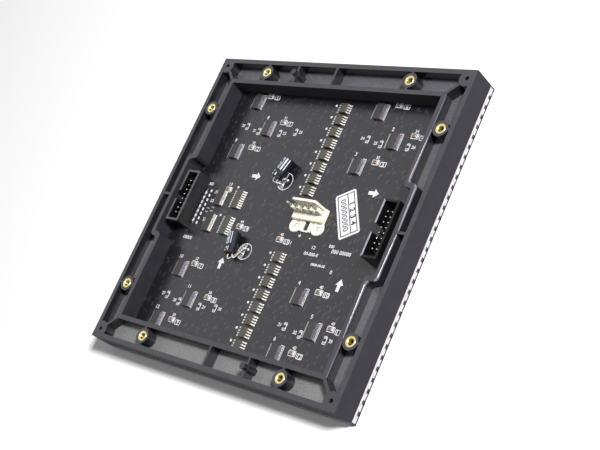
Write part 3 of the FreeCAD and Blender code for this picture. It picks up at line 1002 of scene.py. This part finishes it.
@dataclass
class Capacitor:
    """Sleeved electrolytic capacitor lying on the board, with its two leads."""

    name: str
    turn: float
    ring: Pair
    bands: Sequence[tuple[float, float, float, float, int]] = LINED_SLEEVE
    radius: float = 3.15
    length: float = 11.2
    disc_radius: float = 2.3
    disc_depths: Triple = (0.25, 0.2, 0.15)
    print_step: float = 0.012
    lead_spread: float = 1.25
    lead_radius: float = 0.33
    hole_step: Pair = (1.0, 1.3)
    joint: Triple = (0.75, 0.35, 0.35)

    def build(self) -> None:
        """Build the can, its print and the leads."""
        node = self.name + "_can"
        base = middle(node)
        along = Matrix.Rotation(math.radians(self.turn), 4, "Z")
        centre = Vector((base.x, base.y, base.z + self.radius))
        spot = Matrix.Translation(centre) @ along @ Matrix.Rotation(math.radians(-90), 4, "X")
        half, disc = self.length / 2, self.disc_radius
        closed, rim, bung = self.disc_depths
        draft = Draft()
        draft.turned([(self.radius - inside, end * (half - along_can))
                      for inside, end, along_can in SLEEVE], spot, 40)
        draft.turned([(0.0, half - closed), (disc, half - rim)], spot, 32, 2)
        draft.turned([(0.0, -half + bung), (disc, -half + bung)], spot, 32, 3)
        self._print(draft, spot)
        draft.finish(node + "_sleeved", [SHRUNK_PVC, SILVER_INK_AND_HIGHLIGHT, DRAWN_ALUMINIUM, BLACK_RUBBER],
                     "capacitor_sleeve", [node])
        self._leads(centre, along)

    def _print(self, draft: Draft, spot: Matrix) -> None:
        """Print pale bands, one a painted highlight, and dark marks on them along the sleeve.

        Args:
            draft: The can.
            spot: Where the can's axis lies.
        """
        for angle, width, low, high, finish in self.bands:
            radius = self.radius + self.print_step * (1 if finish else 2)
            strip = bmesh.new()
            start = math.radians(angle - width / 2)
            verts = [strip.verts.new((radius * math.cos(start), radius * math.sin(start), z))
                     for z in (low, high)]
            edge = strip.edges.new(verts)
            bmesh.ops.spin(strip, geom=verts + [edge], cent=(0, 0, 0), axis=(0, 0, 1),
                           angle=math.radians(width), steps=6, use_duplicate=False)
            for face in strip.faces:
                outward = face.calc_center_median()
                if face.normal.dot(Vector((outward.x, outward.y, 0))) < 0:
                    face.normal_flip()
            draft.join(strip, spot, finish)

    def _leads(self, centre: Vector, along: Matrix) -> None:
        """Bend the two leads from the bung to their holes in the board.

        Args:
            centre: Middle of the can.
            along: The can's turn on the board.
        """
        draft = Draft()
        floor = centre.z - self.radius
        foot, height, top = self.joint
        for side in ENDS:
            start = centre + along @ Vector((side * self.lead_spread, -self.length / 2 + 0.1, 0))
            out = along @ Vector((side * 0.3, -1.4, 0))
            hole = Vector((self.ring[0] + side * self.hole_step[0],
                           self.ring[1] + side * self.hole_step[1], floor))
            points = [start, start + out, start + out * 1.5 + Vector((0, 0, -1.2)),
                      hole + Vector((-0.9, -0.3, 1.9)), hole + Vector((0, 0, 1.1)), hole]
            curve = bpy.data.curves.new("lead", "CURVE")
            curve.dimensions = "3D"
            curve.bevel_depth = self.lead_radius
            curve.bevel_resolution = 2
            curve.use_fill_caps = True
            spline = curve.splines.new("NURBS")
            spline.points.add(len(points) - 1)
            for point, place in zip(spline.points, points):
                point.co = (*place, 1.0)
            spline.order_u = 3
            spline.use_endpoint_u = True
            spline.resolution_u = 6
            draft.take(curve_mesh(curve))
            draft.rod(foot, height, hole, 16, top, 1)
        node = self.name + "_leads"
        draft.finish(node + "_bent", [TINNED_COPPER, SOLDER], "tinned_wire", [node])


@dataclass(frozen=True)
class ChipSize:
    """Size of a small chip and of its tinned ends, in millimetres."""

    length: float
    width: float
    height: float
    caps: Pair = (0.42, 0.42)
    reach: Pair = (0.0, 0.0)


@dataclass
class SmallChips:
    """Chip resistors and chip capacitors round the driver chips."""

    board_back: float = 6.4
    column_at: Pair = (-56.75, -0.5)
    column_pitch: float = 2.56
    column_count: int = 8
    column_size: ChipSize = ChipSize(2.7, 1.45, 0.55, (0.2, 0.36), (-0.3, 0.0))
    resistor_size: ChipSize = ChipSize(1.3, 2.2, 0.5)
    capacitor_size: ChipSize = ChipSize(2.6, 1.7, 1.0)
    solder_past: float = 0.5
    solder_wider: float = 0.1
    solder_height: float = 0.2
    body_inset: Triple = (0.1, 0.1, 0.04)
    cap_out: float = 0.02
    roundings: Triple = (0.05, 0.06, 0.08)
    capacitors: Sequence[Pair] = (
        (-28.5, 50.5), (-42.2, 35.0), (-44.9, 64.5), (53.6, 49.9), (38.3, 34.9), (37.9, 64.9),
        (-43.9, -30.2), (-25.3, -45.0), (-41.8, -59.8), (38.2, -30.4), (52.9, -45.1),
        (37.9, -59.6), (-44.4, 10.8), (-25.8, -7.2), (2.6, -9.8))
    resistors: Sequence[Pair] = (
        (-51.7, 46.3), (-42.5, 44.2), (-27.8, 44.3), (-17.7, 45.8), (28.1, 46.0), (36.7, 44.2),
        (52.3, 44.1), (-52.2, -48.5), (-42.7, -50.4), (-28.3, -50.3), (-17.8, -49.2),
        (27.7, -49.0), (37.8, -50.7), (52.2, -50.4), (-52.4, -1.8), (-49.4, -1.0))

    def build(self) -> None:
        """Build the resistor column, then the scattered chips."""
        x, y = self.column_at
        column = [(x, y + along) for along in spread(self.column_count, self.column_pitch)]
        for name, places, size, body, ends, replaced in (
                ("resistor_column", column, self.column_size, GLAZED_ALUMINA, MATT_TIN,
                 ["chip_resistors"]),
                ("scattered_resistors", self.resistors, self.resistor_size, GLAZED_ALUMINA,
                 SOLDER, []),
                ("scattered_capacitors", self.capacitors, self.capacitor_size, BROWN_CERAMIC,
                 SOLDER, [])):
            draft = Draft()
            for place in places:
                self._chip(draft, place, size)
            draft.finish(name, [body, ends], "chip_resistor", replaced)

    def _chip(self, draft: Draft, at: Pair, chip: ChipSize) -> None:
        """Add one chip with tinned ends and solder.

        Args:
            draft: The piece that gets it.
            at: Its place on the board.
            chip: Its size.
        """
        length, width, height = chip.length, chip.width, chip.height
        along_x = length > width
        of_body, of_cap, of_solder = self.roundings
        whole = Vector((length, width, height))
        draft.block(whole - Vector(self.body_inset), (*at, self.board_back), of_body)
        for side, cap, past in zip(ENDS, chip.caps, chip.reach):
            run = cap + self.solder_past
            shift = side * (max(length, width) / 2 - cap / 2 + self.cap_out)
            end = (cap, width, height) if along_x else (length, cap, height)
            foot = (run, width + self.solder_wider, self.solder_height) if along_x else (
                length + self.solder_wider, run, self.solder_height)
            for size, out, rounding in ((end, shift, of_cap),
                                        (foot, shift + side * past, of_solder)):
                base = (at[0] + out, at[1]) if along_x else (at[0], at[1] + out)
                draft.block(size, (*base, self.board_back), rounding, 1)


@dataclass
class BoardPrint:
    """White ink on the board's back: arrows, dots, dashes, rings and plain numbers."""

    chips: SmallChips
    level: float = 6.4
    thick: float = 0.03
    line: float = 0.36
    fine_line: float = 0.3
    weight: float = 0.05
    arrow: Sequence[Pair] = ((-2.9, -0.9), (0.2, -0.9), (0.2, -2.2), (3.0, 0.0), (0.2, 2.2),
                             (0.2, 0.9), (-2.9, 0.9))
    arrows: Sequence[Triple] = ((44.6, 19.8, 0.0), (-30.2, 19.9, 0.0), (-27.2, -27.1, 90.0),
                                (47.4, -25.4, 90.0))
    rings: Sequence[Triple] = ((-10.0, 19.3, 4.6), (-15.5, -19.0, 4.3))
    hatches: int = 5
    dot_radius: float = 0.65
    pin_one_dots: Sequence[Pair] = ((-38.6, 12.7), (-41.8, -3.2), (-49.0, 9.8))
    switch_dot: Pair = (-6.0, 1.5)
    switches: int = 16
    drivers: int = 12
    driver_number: Triple = (-3.0, 6.2, 1.9)
    driver_bars: Sequence[tuple[float, float, float, float]] = ((4.25, 0.0, 0.3, 8.4),
                                                                (3.2, 4.2, 2.2, 0.3))
    dashes: int = 7
    dash_at: Pair = (-58.75, 7.2)
    dash_size: Pair = (1.25, 1.75)
    numbers: Sequence[tuple[str, float, float, float]] = (
        ("+", 13.4, -6.4, 2.4), ("-", 19.9, -6.4, 2.4), ("11", 9.5, -10.6, 1.7),
        ("12", 24.3, -10.6, 1.7), ("00-000-0", 24.5, -14.0, 1.7), ("000", 34.3, -8.5, 1.5),
        ("000 00000", 41.0, -10.7, 1.9), ("0000-00-00", 31.1, -18.5, 1.3),
        ("0", 40.0, -20.3, 1.8), ("00000", -57.1, -17.8, 1.8), ("31", -51.8, 8.3, 1.7),
        ("32", -52.1, 3.4, 1.7), ("33", -51.5, -7.0, 1.7), ("000", -58.1, 12.2, 1.7),
        ("13", -44.6, 13.6, 1.8))
    crowded: int = 12
    capacitor_frame: Pair = (4.4, 2.8)
    number_frame: Pair = (3.6, 2.6)
    frame_shift: Pair = (4.6, -0.6)
    resistor_frame: Pair = (2.0, 3.9)
    framed_resistors: int = 14
    left_numbers: Sequence[int] = (0, 1, 4, 5, 7, 8, 11, 12)
    number_shift: Pair = (3.2, 0.2)
    over_shift: Pair = (0.2, 2.5)
    small_heights: Triple = (2.1, 1.5, 1.6)
    first_numbers: tuple[int, int, int] = (1, 31, 20)
    draft: Draft = field(default_factory=Draft)

    def build(self) -> None:
        """Build the printed marks as one thin piece."""
        for x, y, turn in self.arrows:
            self.draft.plate(self.arrow, self.level, self.thick, place_at(x, y, 0.0, turn))
        for x, y, radius in self.rings:
            self._ring(x, y, radius)
        self._chip_marks()
        for text, x, y, height in self.numbers:
            self._number(text, x, y, height)
        self._small_chip_marks()
        self.draft.finish("board_print", [WHITE_INK], "label_paper")

    def _ring(self, x: float, y: float, radius: float) -> None:
        """Print a capacitor's ring, hatched where the negative lead goes.

        Args:
            x: Place of the ring's middle across the board.
            y: Place of the ring's middle up the board.
            radius: Outer radius of the ring.
        """
        self._bar(x, y, self.fine_line, 2 * radius - 0.4)
        for step in range(1, self.hatches):
            across = step * radius / self.hatches
            tall = 2 * math.sqrt(radius ** 2 - across ** 2)
            self._bar(x - across, y, self.fine_line, tall - 0.3)
        inner = radius - self.line
        self.draft.turned([(inner, 0.0), (inner, self.thick), (radius, self.thick), (radius, 0.0),
                           (inner, 0.0)], Matrix.Translation((x, y, self.level)), 40)

    def _chip_marks(self) -> None:
        """Print dots, bars and numbers at the chips, and dashes beside the resistors."""
        bases = [middle(f"row_switch_{number + 1}") for number in range(self.switches)]
        dots = [(base.x + self.switch_dot[0], base.y + self.switch_dot[1]) for base in bases]
        for x, y in dots + list(self.pin_one_dots):
            self.draft.rod(self.dot_radius, self.thick, (x, y, self.level), 12)
        right, up, height = self.driver_number
        for number in range(1, self.drivers + 1):
            base = middle(f"driver_ic_{number}")
            self._number(str(number), base.x + right, base.y + up, height)
            for x, y, length, width in self.driver_bars:
                self._bar(base.x + x, base.y + y, length, width)
        for row in range(self.dashes):
            self._bar(self.dash_at[0], self.dash_at[1] - row * self.chips.column_pitch,
                      *self.dash_size)

    def _small_chip_marks(self) -> None:
        """Print outlines and plain numbers at the small chips."""
        (framed, above, beside), (first, second, third) = self.small_heights, self.first_numbers
        for index, (x, y) in enumerate(self.chips.capacitors):
            self._outline(x, y, *self.capacitor_frame)
            if index != self.crowded:
                aside, below = x + self.frame_shift[0], y + self.frame_shift[1]
                self._outline(aside, below, *self.number_frame)
                self._number(str(index + first), aside, below, framed)
                self._number(str(index + second), x + self.over_shift[0],
                             y + self.over_shift[1], above)
        for index, (x, y) in enumerate(self.chips.resistors[:self.framed_resistors]):
            self._outline(x, y, *self.resistor_frame)
            side = -1 if index in self.left_numbers else 1
            self._number(str(index + third), x + side * self.number_shift[0],
                         y + self.number_shift[1], beside)

    def _bar(self, x: float, y: float, length: float, width: float) -> None:
        """Print one straight bar about its middle, with its length along X."""
        self.draft.block((length, width, self.thick), (x, y, self.level))

    def _outline(self, x: float, y: float, length: float, width: float) -> None:
        """Print a rectangular outline round a small chip, open at its corners.

        Args:
            x: Place across the board.
            y: Place up the board.
            length: Outer size along X.
            width: Outer size along Y.
        """
        for side in ENDS:
            self._bar(x, y + side * (width - self.line) / 2, length - 0.5, self.line)
            self._bar(x + side * (length - self.line) / 2, y, self.line, width - 0.5)

    def _number(self, text: str, x: float, y: float, height: float) -> None:
        """Print one plain number about its middle."""
        spot = Matrix.Translation((x, y, self.level + self.thick / 2))
        self.draft.number(text, height, spot, self.weight)


@dataclass
class PaperLabel:
    """White label with a ruled border and plain numbers."""

    length: float = 23.8
    width: float = 11.1
    thick: float = 0.1
    turn: float = -58.9
    corner: float = 1.1
    rule: float = 0.45
    ink: float = 0.012
    border: Pair = (21.6, 9.0)
    border_at: Pair = (10.65, 4.35)
    divider_y: float = 0.95
    # Characters, height, place, weight, spacing and material number
    texts: Sequence[tuple[str, float, Pair, float, float, int]] = (
        ("1234", 2.7, (0.6, 2.6), 0.12, 1.9, 1), ("00000000", 3.0, (0.0, -1.75), 0.06, 1.05, 2))

    def build(self) -> None:
        """Build the label and its print."""
        spot = place_at(*middle("paper_label"), self.turn)
        draft = Draft()
        outline = []
        for corner, (side, other) in enumerate(((1, -1), (1, 1), (-1, 1), (-1, -1))):
            for step in range(5):
                angle = math.radians(-90 + corner * 90 + step * 22.5)
                outline.append((side * (self.length / 2 - self.corner)
                                + self.corner * math.cos(angle),
                                other * (self.width / 2 - self.corner)
                                + self.corner * math.sin(angle)))
        draft.plate(outline, 0, self.thick, spot)
        (long, tall), (x_end, y_end) = self.border, self.border_at
        for x, y, run, rise in ((0, y_end, long, self.rule), (0, -y_end, long, self.rule),
                                (x_end, 0, self.rule, tall), (-x_end, 0, self.rule, tall),
                                (0, self.divider_y, long, self.rule)):
            corners = ((-1, -1), (1, -1), (1, 1), (-1, 1))
            draft.plate([(x + side * run / 2, y + other * rise / 2) for side, other in corners],
                        self.thick, self.ink, spot, 1)
        for text, height, at, *looks in self.texts:
            draft.number(text, height, spot @ Matrix.Translation((*at, self.thick + self.ink)),
                         *looks)
        draft.finish("printed_label", [LABEL_PAPER, DARK_INK, PALE_INK], "label_paper",
                     ["paper_label"])


@dataclass
class Studio:
    """Floor, lamps, world and the camera at the photograph's view."""

    place: Triple = (0.36807, -0.13416, 0.36975)
    right: Triple = (0.72318, 0.395295, -0.56635)
    down: Triple = (0.12957, -0.883104, -0.450931)
    ahead: Triple = (-0.678397, 0.252722, -0.689862)
    lens: float = 68.81
    sensor: float = 36.0
    clip: Pair = (0.01, 20.0)
    floor_size: float = 2.5
    gap: float = 0.00005
    floor_roughness: float = 0.8
    room_light: float = 0.18
    floor_glow: float = 1.4
    glow_share: float = 0.025
    # Name of a lamp, its place in metres, the side of its square face and its power in watts
    lamps: Sequence[tuple[str, Triple, float, float]] = (
        ("sheen_panel", (-0.88, 0.33, 0.9), 0.9, 0.5), ("key", (0.94, 0.25, 1.0), 0.22, 28.0))

    def build(self) -> None:
        """Set up the camera, floor and room, and hang soft lamps that face the module."""
        self._camera()
        self._floor()
        self._world()
        for name, place, size, power in self.lamps:
            lamp = bpy.data.lights.new(name, "AREA")
            lamp.size, lamp.energy = size, power
            aim = (-Vector(place)).to_track_quat("-Z", "Y").to_matrix().to_4x4()
            self._add(name, lamp).matrix_world = Matrix.Translation(place) @ aim
        bpy.context.scene.view_settings.view_transform = "Standard"

    def _add(self, name: str, data: bpy.types.ID) -> bpy.types.Object:
        """Put something in the scene.

        Args:
            name: Its name.
            data: The camera, lamp or mesh.

        Returns:
            The new object.
        """
        made = bpy.data.objects.new(name, data)
        bpy.context.scene.collection.objects.link(made)
        return made

    def _camera(self) -> None:
        """Place the camera by its measured axes."""
        data = bpy.data.cameras.new("photo_view")
        data.lens = self.lens
        data.sensor_width = self.sensor
        data.clip_start, data.clip_end = self.clip
        camera = self._add("photo_view", data)
        axes = Matrix((self.right, [-v for v in self.down], [-v for v in self.ahead])).transposed()
        camera.matrix_world = Matrix.Translation(self.place) @ axes.to_4x4()
        bpy.context.scene.camera = camera

    def _floor(self) -> None:
        """Lay a pale floor that shows white to the camera and keeps the shadow."""
        shape = bmesh.new()
        bmesh.ops.create_grid(shape, x_segments=1, y_segments=1, size=self.floor_size,
                              matrix=Matrix.Translation((0.0, 0.0, -self.gap)))
        floor = self._add("floor", as_mesh(shape))
        made = bpy.data.materials.new("pale_floor")
        made.use_nodes = True
        tree = made.node_tree
        shader = tree.nodes["Principled BSDF"]
        shader.inputs["Base Color"].default_value = linear("#ffffff")
        shader.inputs["Roughness"].default_value = self.floor_roughness
        glow = add_node(tree, "Emission", {"Strength": self.floor_glow})
        both = add_node(tree, "MixShader", {0: self._plain_sight(tree, self.glow_share),
                                            1: shader.outputs["BSDF"],
                                            2: glow.outputs["Emission"]})
        tree.links.new(both.outputs["Shader"], tree.nodes["Material Output"].inputs["Surface"])
        floor.data.materials.append(made)

    def _plain_sight(self, tree: Tree, most: float) -> Socket:
        """Tell rays that show the backdrop from rays that only light the module.

        Args:
            tree: Node tree of the floor or the world.
            most: Value for a ray that shows the backdrop.

        Returns:
            That value for camera, glossy and transmission rays, otherwise 0.
        """
        rays = add_node(tree, "LightPath").outputs
        either = add_node(tree, "Math", {0: rays["Is Camera Ray"], 1: rays["Is Glossy Ray"]},
                          operation="ADD")
        seen = add_node(tree, "Math", {0: either.outputs["Value"],
                                       1: rays["Is Transmission Ray"]},
                        operation="ADD", use_clamp=True)
        return add_node(tree, "Math", {0: seen.outputs["Value"], 1: most},
                        operation="MULTIPLY").outputs["Value"]

    def _world(self) -> None:
        """Fill the room with an even pale light."""
        world = bpy.data.worlds.new("room")
        world.use_nodes = True
        tree = world.node_tree
        strength = add_node(tree, "MapRange", {"Value": self._plain_sight(tree, 1.0),
                                               "To Min": self.room_light, "To Max": 1.0})
        tree.nodes["Background"].inputs["Color"].default_value = (1.0, 1.0, 1.0, 1.0)
        tree.links.new(strength.outputs["Result"], tree.nodes["Background"].inputs["Strength"])
        bpy.context.scene.world = world


def chip_families() -> Iterator[ChipFamily]:
    """Chips of the board by package.

    Yields:
        The four families, each with its CAD nodes.
    """
    fine = LeadForm(0.44, 0.635, 12, 7.0, 3.85)
    wide = LeadForm(0.66, 1.27, 4, 7.2, 4.2)
    long = LeadForm(0.7, 1.2, 8, 7.2, 4.2)
    close = LeadForm(0.44, 0.5, 18, 6.0, 3.4)
    yield ChipFamily("driver", [f"driver_ic_{n}" for n in range(1, 13)], fine, BLACK_EPOXY,
                     DARK_FINE_COPPER)
    yield ChipFamily("switch", [f"row_switch_{n}" for n in range(1, 17)], wide, BROWN_EPOXY)
    yield ChipFamily("bus_near", ["bus_ic_1", "bus_ic_2"], long, BROWN_EPOXY)
    yield ChipFamily("bus_far", ["bus_ic_3", "bus_ic_4"], close, BLACK_EPOXY)


def main() -> None:
    """Build the module's pieces in order, then the studio."""
    logging.basicConfig(level=logging.INFO, format="%(name)s %(message)s")
    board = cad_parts["circuit_board"].data
    board.materials.clear()
    board.materials.append(BLACK_SOLDER_MASK.material())
    grid = PixelGrid()
    chips = SmallChips()
    for part in (RearFrame(), LightMask(grid), Lamps(grid), *chip_families(),
                 BoxHeader("input", SHEEN_TOP_NYLON), BoxHeader("output", rubbed_edge=0.9),
                 PowerConnector(), Capacitor("capacitor_1", -18.7, (-10.0, 18.8)),
                 Capacitor("capacitor_2", 15.5, (-15.0, -19.0), BANDED_SLEEVE), chips,
                 BoardPrint(chips), PaperLabel(), Studio()):
        part.build()


if __name__ == "__main__":
    main()
